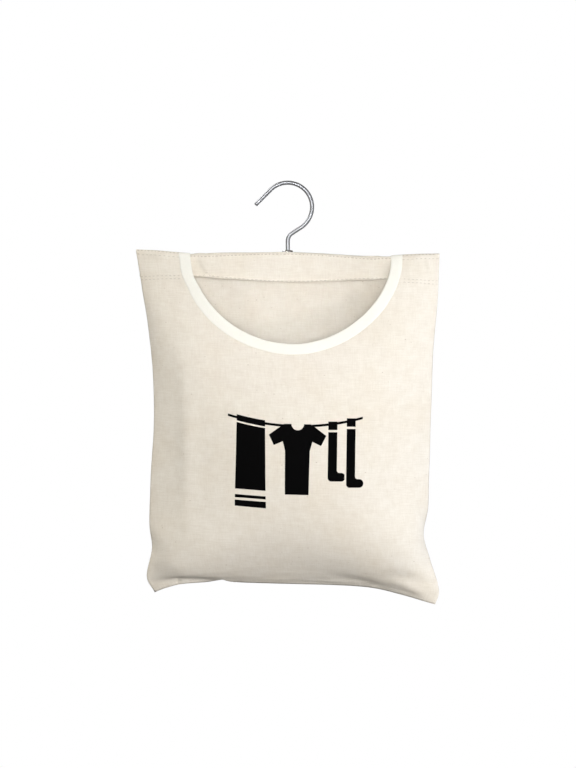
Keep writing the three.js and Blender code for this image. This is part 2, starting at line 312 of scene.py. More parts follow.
def pushOn(fill, flat, down):  # share of the pressure on each point, a little uneven
    least = fill["leastPush"]
    push = least + (1 - least) * smooth(down, *filling["pushGrows"])
    push = push * (1 - fill["fade"] * smooth(down, filling["pushFades"], 1))
    return push * (1 + filling["lumps"] * noiseAt(flat, filling["lumpSize"], fill["seed"]))


def fillOut(name, flat, cells, target, held, push):  # runs the cloth and gives where its points end
    laid = np.column_stack([flat[:, 0], np.zeros(len(flat)), flat[:, 1] + bag["topMiddle"]])
    mesh = bpy.data.meshes.new(name)
    mesh.from_pydata(laid.tolist(), [], cells)
    panel = bpy.data.objects.new(name, mesh)
    scene.collection.objects.link(panel)
    panel.shape_key_add(name="laid")
    hang = panel.shape_key_add(name="hang")
    hang.data.foreach_set("co", target.ravel())
    for step, value in ((1, 0.0), (filling["hangFrames"], 1.0)):
        hang.value = value
        hang.keyframe_insert("value", frame=step)
    heldGroup = panel.vertex_groups.new(name="held")
    heldGroup.add([int(i) for i in np.nonzero(held)[0]], 1.0, "REPLACE")
    pushGroup = panel.vertex_groups.new(name="push")
    for i, weight in enumerate(np.clip(push / push.max(), 0, 1)):
        pushGroup.add([i], float(weight), "REPLACE")
    modifier = panel.modifiers.new("cloth", "CLOTH")
    for key, value in clothSettings.items():
        setattr(modifier.settings, key, value)
    modifier.settings.effector_weights.gravity = filling["gravity"]
    modifier.collision_settings.use_collision = False
    modifier.point_cache.frame_end = filling["frames"]
    for step in range(1, filling["frames"] + 1):
        scene.frame_set(step)
    settled = panel.evaluated_get(bpy.context.evaluated_depsgraph_get())
    places = column(settled.data.vertices, "co")
    scene.frame_set(1)
    action = mesh.shape_keys.animation_data.action
    bpy.data.objects.remove(panel)
    bpy.data.meshes.remove(mesh)
    bpy.data.actions.remove(action)
    return places


def column(items, name, width=3):
    values = np.zeros(len(items) * width)
    items.foreach_get(name, values)
    return values.reshape(-1, width)


def threadsOf(cells):  # both ends of each cell's sides
    ends = [(a, b) for cell in cells for a, b in zip(cell, cell[1:] + cell[:1])]
    return np.array(ends).T


def eased(places, flat, cells, down, still):  # evens out buckles: near the bottom seam, only along it
    a, b = threadsOf(cells)
    a, b = np.concatenate([a, b]), np.concatenate([b, a])
    level = np.abs(flat[a, 1] - flat[b, 1]) < filling["levelSlope"] * np.abs(flat[a, 0] - flat[b, 0])
    low = smooth(down, *filling["bottomZone"])
    passes = (np.ones(len(a), bool), filling["ease"] * (1 - low)), (level, filling["bottomEase"] * low)
    for links, weight in passes:
        start, end = a[links], b[links]
        count = np.bincount(start, minlength=len(places))
        moving = np.where(still | (count == 0), 0, weight)[:, None]
        for _ in range(filling["easeRounds"]):
            beside = np.zeros_like(places)
            np.add.at(beside, start, places[end])
            places = places + moving * (beside / np.maximum(count, 1)[:, None] - places)
    return places


def swung(places):  # the lower left corner hangs back
    away = np.linalg.norm(places[:, [0, 2]] - np.array(leftSeam[-1]), axis=1)
    near = np.clip(1 - away / filling["cornerReach"], 0, 1)
    return places + filling["cornerBack"] * near[:, None] ** filling["cornerCurve"] * np.array([0, 1, 0])


def settledCloth(name, flat, cells, target, held, push, down, edge):
    places = swung(eased(fillOut(name, flat, cells, target, held, push), flat, cells, down, edge))
    a, b = threadsOf(cells)
    ratio = np.linalg.norm(places[a] - places[b], axis=1) / np.linalg.norm(flat[a] - flat[b], axis=1)
    depth = np.abs(places[:, 1]).max() * 1000
    print(f"{name}: {len(flat)} points, stretch {ratio.mean():.3f} on average, depth {depth:.1f} mm")
    return places


def frontPanel():
    outline, leftCount, scoopCount, rightCount = frontOutline()
    flat, cells, edge = cutCloth(outline, -1)
    across, down = shares(flat)
    plane = hung(across, down)
    inward = 1 - np.abs(2 * across - 1)
    hemAt = hemDepth(plane[:, 0]) / bag["height"]
    behind = 2 * bag["seamHalf"] * (1 - smooth(down, hemAt, 2 * hemAt))  # the channel's two layers
    stand = channelHalf(plane[:, 0]) + bag["cloth"] + bag["layerGap"]
    shoulder = stand * (1 - smooth(down, 0, filling["shoulderFall"]))
    shoulder = shoulder * np.minimum(1, inward / filling["shoulderSide"]) ** 0.5
    y = -np.maximum(swell(frontFill, inward, down), shoulder)
    hair = 1e-6
    side, bottom = (across < hair) | (across > 1 - hair), down > 1 - hair
    left = list(range(leftCount))
    right = list(range(leftCount + scoopCount, leftCount + scoopCount + rightCount))
    top = left + right
    y[side] = -bag["seamHalf"] - behind[side] / 2
    y[bottom] = -bag["seamHalf"]
    y[top] = -stand[top]
    target = np.column_stack([plane[:, 0], y, plane[:, 1]])
    target[top, 2] = topEdge(target[top, 0]) - channelBend(target[top, 0])
    held = side | bottom
    held[top] = True
    push = pushOn(frontFill, flat, down)
    places = settledCloth("frontCloth", flat, cells, target, held, push, down, edge)
    for row in (left, right):
        flat, cells, places = addRows(flat, cells, places, row, shoulderProfile)
    return flat, cells, places


def backPanel():
    flat, cells, edge = cutCloth(backOutline(), 1)
    across, down = shares(flat)
    plane = hung(across, down)
    hemAt = hemDepth(plane[:, 0]) / bag["height"]
    below = np.clip((down - hemAt) / (1 - hemAt), 0, 1)
    inward = 1 - np.abs(2 * across - 1)
    y = bag["seamHalf"] + swell(backFill, inward, below)
    y[edge] = bag["seamHalf"]
    target = np.column_stack([plane[:, 0], y, plane[:, 1]])
    columns = round(bag["width"] / bag["pitch"]) + 1
    hemX = target[:columns, 0]
    target[:columns, 1] -= hemStand(hemX)
    target[:columns, 2] = hemRow(hemX)
    push = pushOn(backFill, flat, down)
    places = settledCloth("backCloth", flat, cells, target, edge, push, down, edge)
    return addRows(flat, cells, places, list(range(columns)), channelProfile)


def channelProfile(x):  # y and z of the cloth from the hem's stitches, over the bar, to the hem's edge
    top, foot, half, hem, bend = topEdge(x), hemRow(x), channelHalf(x), hemStand(x), channelBend(x)
    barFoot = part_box("hanger_bar")[0][2]
    shut, under = barFoot + bag["wallEnd"], barFoot - bag["barDrop"]
    behind, before = bag["seamHalf"] - hem, bag["seamHalf"] + hem
    wall = []
    for a in np.radians((18, 36, 54, 72, 90)):
        y, z = behind + (half - behind) * math.sin(a), foot + (shut - foot) * (1 - math.cos(a))
        wall.append((y, min(z, under) if y < bag["barCover"] * half else z))
    wall.append((half, (shut + top - bend) / 2))
    turns = np.radians((0, 30, 60, 90))
    crown = [(half - bend + bend * math.cos(a), top - bend + bend * math.sin(a)) for a in turns]
    crown += [((half - bend) * 0.5, top)]
    steps = np.linspace(0, 1, 8)[1:]
    fall = [(-half + (half - before) * t, top - bend + (foot - top + bend) * t) for t in steps]
    lip = [(-before - out, foot - drop) for out, drop in bag["hemRoll"]]
    return wall + crown + [(0, top)] + [(-y, z) for y, z in reversed(crown)] + fall + lip


def shoulderProfile(x):  # y and z of the front panel's top, rolled back over the channel
    half, bend = channelHalf(x), channelBend(x)
    outside = bend + bag["cloth"] + bag["layerGap"]
    top = topEdge(x) - bend
    turns = np.radians((22, 45, 68, 90))
    roll = [(bend - half - outside * math.cos(a), top + outside * math.sin(a)) for a in turns]
    return roll + [(0.5 * (bend - half), top + outside)]


def addRows(flat, cells, places, row, profile):  # sews more rows of cloth to an upper edge, along a profile
    extraFlat, extraPlaces, rows = [], [], [row]
    profiles = [profile(places[i, 0]) for i in row]
    climbed = flat[row, 1].copy()
    last = [(places[i, 1], places[i, 2]) for i in row]
    for level in range(len(profiles[0])):
        rows.append([])
        for k, i in enumerate(row):
            point = profiles[k][level]
            climbed[k] += math.dist(point, last[k])
            last[k] = point
            rows[-1].append(len(flat) + len(extraFlat))
            extraFlat.append((flat[i, 0], climbed[k]))
            extraPlaces.append((places[i, 0], *point))
    out = 1 if profile is channelProfile else -1
    for lower, upper in zip(rows, rows[1:]):
        for k in range(len(row) - 1):
            cells.append([lower[k], upper[k], upper[k + 1], lower[k + 1]][::out])
    return np.vstack([flat, extraFlat]), cells, np.vstack([places, extraPlaces])


# Materials: small helpers, then the groups that several materials share


def feed(tree, socket, value):  # a value, or a link if a socket is given
    if isinstance(value, bpy.types.NodeSocket):
        tree.links.new(value, socket)
    else:
        socket.default_value = (*value, 1) if socket.type == "RGBA" else value


def addNode(tree, kind, settings=None, **inputs):  # i0, i1 and so on are inputs by number
    node = tree.nodes.new(kind)
    for key, value in (settings or {}).items():
        setattr(node, key, value)
    for key, value in inputs.items():
        feed(tree, node.inputs[int(key[1:]) if key[1:].isdigit() else key.replace("_", " ")], value)
    return node


def sums(tree, operation, first, second=0.0, third=0.0):
    node = addNode(tree, "ShaderNodeMath", {"operation": operation}, i0=first, i1=second, i2=third)
    return node.outputs[0]


def vectors(tree, operation, first, second):
    return addNode(tree, "ShaderNodeVectorMath", {"operation": operation}, i0=first, i1=second).outputs[0]


def scaled(tree, vector, factor):
    return addNode(tree, "ShaderNodeVectorMath", {"operation": "SCALE"}, i0=vector, Scale=factor).outputs[0]


def noiseOf(tree, vector, scale, detail=2.0, roughness=0.5):
    values = {"Vector": vector, "Scale": scale, "Detail": detail, "Roughness": roughness}
    return addNode(tree, "ShaderNodeTexNoise", **values)


def remap(tree, value, low, high, toLow=0.0, toHigh=1.0):
    values = {"Value": value, "From Min": low, "From Max": high, "To Min": toLow, "To Max": toHigh}
    return addNode(tree, "ShaderNodeMapRange", {"clamp": True}, **values).outputs["Result"]


def mixed(tree, factor, first, second, blend="MIX"):
    settings = {"data_type": "RGBA", "blend_type": blend}
    return addNode(tree, "ShaderNodeMix", settings, i0=factor, i6=first, i7=second).outputs[2]


def placeGroup(tree, group, **inputs):
    return addNode(tree, "ShaderNodeGroup", {"node_tree": group}, **inputs).outputs


def newGroup(name, inputs, outputs):
    group = bpy.data.node_groups.new(name, "ShaderNodeTree")
    for labels, way in ((inputs, "INPUT"), (outputs, "OUTPUT")):
        for label, kind in labels.items():
            group.interface.new_socket(label, in_out=way, socket_type="NodeSocket" + kind)
    return group, group.nodes.new("NodeGroupInput").outputs, group.nodes.new("NodeGroupOutput").inputs


def newMaterial(name, **constants):
    material = bpy.data.materials.new(name)
    material.use_nodes = True
    shader = material.node_tree.nodes["Principled BSDF"]
    for key, value in constants.items():
        shader.inputs[key.replace("_", " ")].default_value = value
    return material, material.node_tree, shader


def bumped(tree, shader, height, strength, distance):
    bump = addNode(tree, "ShaderNodeBump", Height=height, Strength=strength, Distance=distance)
    tree.links.new(bump.outputs["Normal"], shader.inputs["Normal"])


weaving = {
    "wanderScale": 45.0,
    "under": 0.4,  # height of a thread where it goes under another
    "slubs": ((0.55, 0.05, 1.0), (0.04, 0.6, 1.0)),  # thick places along the warp and along the weft
    "slubShares": (0.45, 0.55),
    "fleckScale": 120.0,
    "fleckStretch": (1.0, 1.9, 1.0),
    "fleckSize": (0.05, 0.12),
    "fleckPick": (0.55, 0.98),  # only some of the seeds show, and not all as dark
}


def weaveGroup():  # threads over and under each other, uneven as spun cotton is
    tree, given, made = newGroup(
        "plainWeave",
        {"Threads": "Vector", "Pitch": "Float", "Wander": "Float"},
        {"Height": "Float", "ToneAndGapShade": "Float", "Fleck": "Float"},
    )
    flow = noiseOf(tree, given["Threads"], weaving["wanderScale"], 3.0).outputs["Color"]
    shift = scaled(tree, vectors(tree, "SUBTRACT", flow, (0.5, 0.5, 0.5)), given["Wander"])
    moved = vectors(tree, "ADD", given["Threads"], shift)
    count = scaled(tree, moved, sums(tree, "DIVIDE", 1.0, given["Pitch"]))
    split = addNode(tree, "ShaderNodeSeparateXYZ", i0=count)
    ridges, cells = [], []
    for axis in ("X", "Y"):
        turned = sums(tree, "SINE", sums(tree, "MULTIPLY", split.outputs[axis], math.pi))
        ridges.append(sums(tree, "ABSOLUTE", turned))
        cells.append(sums(tree, "FLOOR", split.outputs[axis]))
    over = sums(tree, "MODULO", sums(tree, "ABSOLUTE", sums(tree, "ADD", cells[0], cells[1])), 2.0)
    warp = sums(tree, "MULTIPLY", ridges[0], remap(tree, over, 0, 1, weaving["under"], 1.0))
    weft = sums(tree, "MULTIPLY", ridges[1], remap(tree, over, 0, 1, 1.0, weaving["under"]))
    threads = sums(tree, "MAXIMUM", warp, weft)
    slubs = []
    for stretch, share in zip(weaving["slubs"], weaving["slubShares"]):
        drawn = vectors(tree, "MULTIPLY", count, stretch)
        slubs.append(sums(tree, "MULTIPLY", noiseOf(tree, drawn, 1.0, 3.0, 0.65).outputs[0], share))
    slub = sums(tree, "ADD", *slubs)
    narrow = vectors(tree, "MULTIPLY", given["Threads"], weaving["fleckStretch"])
    scale = weaving["fleckScale"]
    seeds = addNode(tree, "ShaderNodeTexVoronoi", {"feature": "F1"}, Vector=narrow, Scale=scale)
    near = remap(tree, seeds.outputs["Distance"], *weaving["fleckSize"], 1.0, 0.0)
    pick = addNode(tree, "ShaderNodeSeparateColor", i0=seeds.outputs["Color"])
    fleck = sums(tree, "MULTIPLY", near, remap(tree, pick.outputs[0], *weaving["fleckPick"]))
    height = sums(tree, "ADD", sums(tree, "MULTIPLY", threads, 0.6), sums(tree, "MULTIPLY", slub, 0.8))
    # Tone is partly the yarn's own uneven colour from its slubs and partly painted shade: darker where a
    # thread dips under another and in the gaps between threads.
    toneAndGapShade = sums(tree, "ADD", remap(tree, slub, 0.2, 0.8, 0.0, 0.75), sums(tree, "MULTIPLY", threads, 0.25))
    for label, value in (("Height", height), ("ToneAndGapShade", toneAndGapShade), ("Fleck", fleck)):
        tree.links.new(value, made[label])
    return tree


def drawnGroup():  # fine lines along a drawn or rolled metal surface
    tree, given, made = newGroup(
        "drawnLines", {"Surface": "Vector", "Stretch": "Vector"}, {"Line": "Float", "Cloud": "Float"}
    )
    drawn = vectors(tree, "MULTIPLY", given["Surface"], given["Stretch"])
    tree.links.new(noiseOf(tree, drawn, 1.0, 4.0, 0.7).outputs[0], made["Line"])
    tree.links.new(noiseOf(tree, given["Surface"], 160.0, 3.0).outputs[0], made["Cloud"])
    return tree


weave, drawnLines = weaveGroup(), drawnGroup()

canvasLook = {
    "pitch": 0.00058,
    "wander": 0.0016,
    "dark": (0.700, 0.622, 0.495),
    "light": (0.925, 0.872, 0.768),
    "stain": (0.95, 0.92, 0.87),
    "stainScale": 16.0,
    "stainRange": (0.45, 0.72, 0.0, 0.55),
    "mottle": (0.955, 0.945, 0.93),
    "mottleScale": 90.0,
    "mottleRange": (0.35, 0.65),
    "fleck": (0.40, 0.30, 0.19),
    "fleckShare": 0.6,
    "bump": 0.35,
    "relief": 0.00022,
}

tapeLook = {
    "pitch": 0.00034,
    "wander": 0.0005,
    "bias": 45,  # degrees that the weave is turned
    "dark": (0.842, 0.808, 0.70),
    "light": (0.936, 0.91, 0.812),
    "bump": 0.25,
    "relief": 0.00012,
}

inkLook = {
    "pitch": canvasLook["pitch"],
    "wander": canvasLook["wander"],
    "black": (0.0022, 0.0021, 0.0021),
    "worn": (0.016, 0.015, 0.014),
    "bump": 0.25,
    "relief": 0.00018,
}


def wovenMaterial(name, look, **constants):  # a material with its weave in relief, and what its colour needs
    material, tree, shader = newMaterial(name, **constants)
    laid = addNode(tree, "ShaderNodeUVMap", {"uv_map": "weave"}).outputs["UV"]
    if "bias" in look:
        turn = (0, 0, math.radians(look["bias"]))
        laid = addNode(tree, "ShaderNodeMapping", Vector=laid, Rotation=turn).outputs[0]
    cloth = placeGroup(tree, weave, Threads=laid, Pitch=look["pitch"], Wander=look["wander"])
    bumped(tree, shader, cloth["Height"], look["bump"], look["relief"])
    return material, tree, shader.inputs["Base Color"], laid, cloth


def canvasMaterial():
    look, constants = canvasLook, {"Roughness": 0.92, "Sheen Weight": 0.06, "Specular IOR Level": 0.2}
    material, tree, colour, laid, cloth = wovenMaterial("unbleachedCanvas", look, **constants)
    # dark to light by the weave's tone, which holds painted shade in the gaps between threads
    tint = mixed(tree, cloth["ToneAndGapShade"], look["dark"], look["light"])
    stain = noiseOf(tree, laid, look["stainScale"], 3.0, 0.55).outputs[0]
    tint = mixed(tree, remap(tree, stain, *look["stainRange"]), tint, look["stain"], "MULTIPLY")
    mottle = noiseOf(tree, laid, look["mottleScale"], 4.0, 0.6).outputs[0]
    tint = mixed(tree, remap(tree, mottle, *look["mottleRange"]), tint, look["mottle"], "MULTIPLY")
    fleck = sums(tree, "MULTIPLY", cloth["Fleck"], look["fleckShare"])
    tree.links.new(mixed(tree, fleck, tint, look["fleck"]), colour)
    return material


def tapeMaterial():
    look, constants = tapeLook, {"Roughness": 0.85, "Sheen Weight": 0.08, "Specular IOR Level": 0.25}
    material, tree, colour, _, cloth = wovenMaterial("ivoryTape", look, **constants)
    # dark to light by the weave's tone, which holds painted shade in the gaps between threads
    tree.links.new(mixed(tree, cloth["ToneAndGapShade"], look["dark"], look["light"]), colour)
    return material


def inkMaterial():
    look, constants = inkLook, {"Roughness": 0.72, "Specular IOR Level": 0.02}
    material, tree, colour, _, cloth = wovenMaterial("screenInk", look, **constants)
    thin = remap(tree, cloth["ToneAndGapShade"], 0.15, 0.0)
    tree.links.new(mixed(tree, thin, look["black"], look["worn"]), colour)
    return material


# The thread is partly its own colour and partly painted shade: coloured darker so that the stitches read as
# the shade in their holes.
threadLook = {
    "dark": (0.44, 0.38, 0.29),
    "light": (0.66, 0.59, 0.48),
    "twist": 2600.0,
    "bump": 0.4,
    "relief": 0.0001,
}


def threadMaterial():
    look = threadLook
    material, tree, shader = newMaterial("threadAndHoleShade", Roughness=0.8)
    place = addNode(tree, "ShaderNodeTexCoord").outputs["Object"]
    fibre = noiseOf(tree, place, look["twist"], 3.0, 0.6).outputs[0]
    tint = mixed(tree, remap(tree, fibre, 0.3, 0.7), look["dark"], look["light"])
    tree.links.new(tint, shader.inputs["Base Color"])
    bumped(tree, shader, fibre, look["bump"], look["relief"])
    return material


hookSteelLook = {
    "mapped": True,
    "metallic": 0.65,
    "stretch": (1500.0, 25.0, 1.0),
    "dark": (0.28, 0.28, 0.285),
    "light": (0.34, 0.34, 0.345),
    "dull": (0.25, 0.25, 0.255),
    "roughness": (0.36, 0.40),
    "bump": 0.001,
}

eyeletLook = {
    "mapped": False,
    "metallic": 1.0,
    "stretch": (900.0, 900.0, 2400.0),
    "dark": (0.66, 0.65, 0.62),
    "light": (0.80, 0.79, 0.76),
    "dull": (0.55, 0.54, 0.51),
    "roughness": (0.16, 0.30),
    "bump": 0.12,
}

washerLook = {
    "mapped": False,
    "metallic": 1.0,
    "stretch": (1400.0, 260.0, 1400.0),
    "dark": (0.48, 0.49, 0.50),
    "light": (0.60, 0.61, 0.62),
    "dull": (0.38, 0.38, 0.38),
    "roughness": (0.30, 0.48),
    "bump": 0.2,
}


def metalMaterial(name, look):
    material, tree, shader = newMaterial(name, Metallic=look["metallic"])
    if look["mapped"]:
        surface = addNode(tree, "ShaderNodeUVMap", {"uv_map": "wire"}).outputs["UV"]
    else:
        surface = addNode(tree, "ShaderNodeTexCoord").outputs["Object"]
    marks = placeGroup(tree, drawnLines, Surface=surface, Stretch=look["stretch"])
    tint = mixed(tree, remap(tree, marks["Line"], 0.3, 0.7), look["dark"], look["light"])
    tint = mixed(tree, remap(tree, marks["Cloud"], 0.55, 0.8, 0.0, 0.35), tint, look["dull"])
    tree.links.new(tint, shader.inputs["Base Color"])
    tree.links.new(remap(tree, marks["Cloud"], 0.3, 0.7, *look["roughness"]), shader.inputs["Roughness"])
    bumped(tree, shader, marks["Line"], look["bump"], 0.00005)
    return material


barLook = {
    "late": (0.46, 0.27, 0.12),
    "early": (0.76, 0.56, 0.34),
    "ringScale": 210.0,
    "heart": (0.0, 0.035, 0.052),  # the tree's middle, from the bar's
    "pores": (60.0, 1800.0, 1800.0),
    "roughness": (0.55, 0.75),
}


def barMaterial():
    look = barLook
    material, tree, shader = newMaterial("planedPine")
    place = addNode(tree, "ShaderNodeTexCoord").outputs["Object"]
    centred = addNode(tree, "ShaderNodeMapping", Vector=place, Location=look["heart"]).outputs[0]
    sway = noiseOf(tree, vectors(tree, "MULTIPLY", centred, (6.0, 30.0, 30.0)), 1.0, 3.0).outputs["Color"]
    bent = vectors(tree, "ADD", centred, vectors(tree, "MULTIPLY", sway, (0.0, 0.006, 0.006)))
    settings = {"wave_type": "RINGS", "rings_direction": "X", "wave_profile": "SAW"}
    rings = addNode(tree, "ShaderNodeTexWave", settings, Vector=bent, Scale=look["ringScale"], Distortion=0.6)
    pores = noiseOf(tree, vectors(tree, "MULTIPLY", place, look["pores"]), 1.0, 3.0, 0.7).outputs[0]
    grain = sums(tree, "MULTIPLY_ADD", pores, 0.35, sums(tree, "MULTIPLY", rings.outputs[1], 0.7))
    tree.links.new(mixed(tree, grain, look["early"], look["late"]), shader.inputs["Base Color"])
    tree.links.new(remap(tree, pores, 0.3, 0.7, *look["roughness"]), shader.inputs["Roughness"])
    bumped(tree, shader, pores, 0.3, 0.0001)
    return material


canvas, ivoryTape, screenInk = canvasMaterial(), tapeMaterial(), inkMaterial()
threadAndHoleShade = threadMaterial()
hookSteel = metalMaterial("platedWire", hookSteelLook)
nickel = metalMaterial("nickelEyelet", eyeletLook)
print("materials: done")

# Cloth as finished meshes

# On the panel laid flat: from, to, width (or one to the left and one to the right) and height.
frontCreases = {
    "rightShoulder": ((0.1385, -0.0020), (0.1415, -0.0145), 0.0020, 0.0014),
    "leftFold": ((-0.1080, -0.1100), (-0.1050, -0.2700), 0.0110, 0.0030),
    "leftTuck": ((-0.1270, -0.3462), (-0.1215, -0.3360), 0.0028, -0.0020),
    "notch": ((-0.0750, -0.3440), (-0.0705, -0.3468), 0.0018, -0.0014),
    "notchFold": ((-0.0735, -0.3420), (-0.0650, -0.3462), 0.0022, 0.0014),
    "middleRoll": ((-0.0352, -0.3450), (0.0774, -0.3460), 0.0030, -0.0008),
    "middleTuck": ((0.0775, -0.3490), (0.0860, -0.3420), 0.0020, -0.0012),
    "slantHollow": ((0.0400, -0.3330), (0.1000, -0.3440), 0.0060, -0.0016),
    "cornerFold": ((0.1050, -0.3300), (0.1480, -0.3480), 0.0050, 0.0016),
    "cornerHollow": ((0.0980, -0.3230), (0.1440, -0.3270), 0.0060, -0.0012),
}
backCreases = {
    "flapLeft": ((-0.0905, 0.0275), (-0.0790, 0.0480), (0.0040, 0.0300), 0.0024),
    "flapRight": ((0.0900, 0.0275), (0.0870, 0.0460), (0.0300, 0.0050), 0.0018),
}

relief = {
    "drape": 0.00032,  # soft unevenness all over
    "drapeSize": 0.026,
    "drapeSeeds": {True: 5.1, False: 8.4},  # front and back
    "bottomCrimp": 0.00040,
    "crimpReach": 0.050,
    "crimpSize": (0.030, 0.0042),
    "crimpSeed": 2.9,
    "seamClear": 0.006,  # no crimp right at the seam
    "pucker": 0.00018,  # beside the stitches
    "puckerSize": (0.0062, 0.0200),
    "puckerReach": 0.0045,
    "puckerSeed": 6.6,
    "topRow": -0.003,  # where the upper stitches pucker the cloth
    "creaseEnd": 0.08,  # share of a crease that runs out at each end
}


def toLine(flat, start, end, width):  # distance from a line laid flat, in widths, and how far along it
    start, end = np.array(start), np.array(end)
    way = end - start
    share = np.clip(((flat - start) @ way) / (way @ way), 0, 1)
    left, right = width if isinstance(width, tuple) else (width, width)
    side = way[0] * (flat[:, 1] - start[1]) - way[1] * (flat[:, 0] - start[0])
    away = np.linalg.norm(flat - start - share[:, None] * way, axis=1)
    return away / np.where(side > 0, left, right), share


def reliefOf(flat, front):
    height = relief["drape"] * noiseAt(flat, relief["drapeSize"], relief["drapeSeeds"][front])
    low = -flat[:, 1] - seamHeight(flat[:, 0] / bag["width"] + 0.5)
    crimp = smooth(low, -relief["crimpReach"], 0) * smooth(-low, 0, relief["seamClear"])
    height += crimp * relief["bottomCrimp"] * noiseAt(flat, relief["crimpSize"], relief["crimpSeed"])
    for row in (relief["topRow"], -hemDepth(flat[:, 0])):
        beside = smooth(relief["puckerReach"] - np.abs(flat[:, 1] - row), 0, relief["puckerReach"])
        height += beside * relief["pucker"] * noiseAt(flat, relief["puckerSize"], relief["puckerSeed"])
    end = relief["creaseEnd"]
    for start, stop, width, rise in (frontCreases if front else backCreases).values():
        away, share = toLine(flat, start, stop, width)
        height += rise * np.exp(-(away**2)) * np.sin(np.pi * np.clip(share, end, 1 - end)) ** 0.5
    return height


def meshFrom(name, places, cells, flat=None, layer="weave", material=None):
    mesh = bpy.data.meshes.new(name)
    mesh.from_pydata([tuple(p) for p in places], [], cells)
    mesh.polygons.foreach_set("use_smooth", [True] * len(mesh.polygons))
    if flat is not None:
        corners = np.zeros(len(mesh.loops), int)
        mesh.loops.foreach_get("vertex_index", corners)
        mesh.uv_layers.new(name=layer).data.foreach_set("uv", np.array(flat, float)[corners].ravel())
    mesh.materials.append(material)
    obj = bpy.data.objects.new(name, mesh)
    scene.collection.objects.link(obj)
    return obj


def settleModifiers(obj):  # a plain mesh of what the modifiers make
    graph = bpy.context.evaluated_depsgraph_get()
    mesh = bpy.data.meshes.new_from_object(obj.evaluated_get(graph))
    old = obj.data
    obj.modifiers.clear()
    obj.data = mesh
    bpy.data.meshes.remove(old)
    mesh.name = obj.name
    return mesh


def flatOf(mesh):
    corners = np.zeros(len(mesh.loops), int)
    mesh.loops.foreach_get("vertex_index", corners)
    flat = np.zeros((len(mesh.vertices), 2))
    flat[corners] = column(mesh.uv_layers["weave"].data, "uv", 2)
    return flat


def panelObject(name, pattern, front):
    flat, cells, places = pattern
    obj = meshFrom(name, places, cells, flat, material=canvas)
    divided = obj.modifiers.new("finer", "SUBSURF")
    divided.levels = divided.render_levels = 1
    divided.boundary_smooth = "PRESERVE_CORNERS"
    mesh = settleModifiers(obj)
    raised = reliefOf(flatOf(mesh), front)[:, None] * column(mesh.vertex_normals, "vector")
    mesh.vertices.foreach_set("co", (column(mesh.vertices, "co") + raised).ravel())
    mesh.update()
    return obj


def thicken(obj, name, thickness):
    wall = obj.modifiers.new(name, "SOLIDIFY")
    wall.thickness = thickness
    wall.offset = -1


def surfaceOf(mesh):  # finds the place and normal of a point of the cloth laid flat
    mesh.calc_loop_triangles()
    triangles = [tuple(t.vertices) for t in mesh.loop_triangles]
    laid = [Vector((u, v, 0)) for u, v in flatOf(mesh)]
    places = [Vector(p) for p in column(mesh.vertices, "co")]
    normals = [Vector(n) for n in column(mesh.vertex_normals, "vector")]
    tree = BVHTree.FromPolygons(laid, triangles)

    def find(u, v, lift=0.0):
        spot, _, index, _ = tree.find_nearest(Vector((u, v, 0)))
        a, b, c = triangles[index]
        corners = laid[a], laid[b], laid[c]
        place = barycentric_transform(spot, *corners, places[a], places[b], places[c])
        normal = barycentric_transform(spot, *corners, normals[a], normals[b], normals[c]).normalized()
        return place + lift * normal, normal

    return find


hole = {  # in the top fold, lined by the eyelet
    "radius": 0.0033,
    "margin": 0.0006,
    "depth": 0.002,  # of the fold that it goes through
    "drawIn": 2.5,  # radii within which the cut edge is drawn to the hole
}


def punchEyelet(obj):
    radius, crown = hole["radius"], bag["topMiddle"] - hole["depth"]
    bm = bmesh.new()
    bm.from_mesh(obj.data)
    near = [f for f in bm.faces if f.calc_center_median().xy.length < radius + hole["margin"]]
    bmesh.ops.delete(bm, geom=[f for f in near if f.calc_center_median().z > crown], context="FACES")
    for vert in bm.verts:
        if vert.is_boundary and vert.co.z > crown and vert.co.xy.length < hole["drawIn"] * radius:
            vert.co.xy = vert.co.xy.normalized() * radius
    bm.to_mesh(obj.data)
    bm.free()


frontPattern, backPattern = frontPanel(), backPanel()
frontCanvas = panelObject("frontCanvas", frontPattern, True)
backCanvas = panelObject("backCanvas", backPattern, False)
onFront = surfaceOf(frontCanvas.data)
backTree = BVHTree.FromPolygons(
    [v.co for v in backCanvas.data.vertices], [tuple(p.vertices) for p in backCanvas.data.polygons]
)
punchEyelet(backCanvas)
for piece, node, pattern in (
    (frontCanvas, "front_panel", frontPattern),
    (backCanvas, "back_panel", backPattern),
):
    thicken(piece, "thickness", bag["cloth"])
    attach(piece, "bag")
    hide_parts(node)

# Tape folded over the scoop's raw edge

tape = {
    "width": 0.0104,
    "inside": 0.0098,
    "thickness": 0.0005,
    "edgeOut": 0.00018,  # round of its front edge, out and in
    "edgeIn": 0.0002,
    "crown": 0.00012,
    "steps": 180,
    "endRise": 0.0008,  # up over the shoulder's roll
    "uneven": 0.00022,
    "ripple": 0.00016,
    "rippleLength": 0.013,
    "probe": 0.001,  # into the cloth, to find which way its edge faces
}


def tapeSection():  # from the front edge, round the raw edge, to the edge inside: d inward, h outward
    t, w, inside = tape["thickness"], tape["width"], tape["inside"]
    skin, back = bag["layerGap"], -bag["cloth"]
    roll = (t + skin) - back / 2
    outer = [(w, skin), (w + tape["edgeOut"], t * 0.45), (w - tape["edgeIn"], t * 0.95)]
    for share in (0.85, 0.6, 0.35, 0.15, 0.0):
        outer.append((w * share, t + skin + tape["crown"] * math.sin(math.pi * share)))
    turns = np.radians((60, 30, 0, -30, -60))
    outer += [(-roll * math.cos(a), back / 2 + roll * math.sin(a)) for a in turns]
    outer += [(inside * share, back - t - skin) for share in (0.0, 0.35, 0.7, 0.97)]
    outer += [(inside + tape["edgeIn"], back - t * 0.5), (inside, back - skin)]
    lining = [(0.0, back - skin), (-2.0 * skin, back / 2), (0.0, skin)]
    return outer + lining


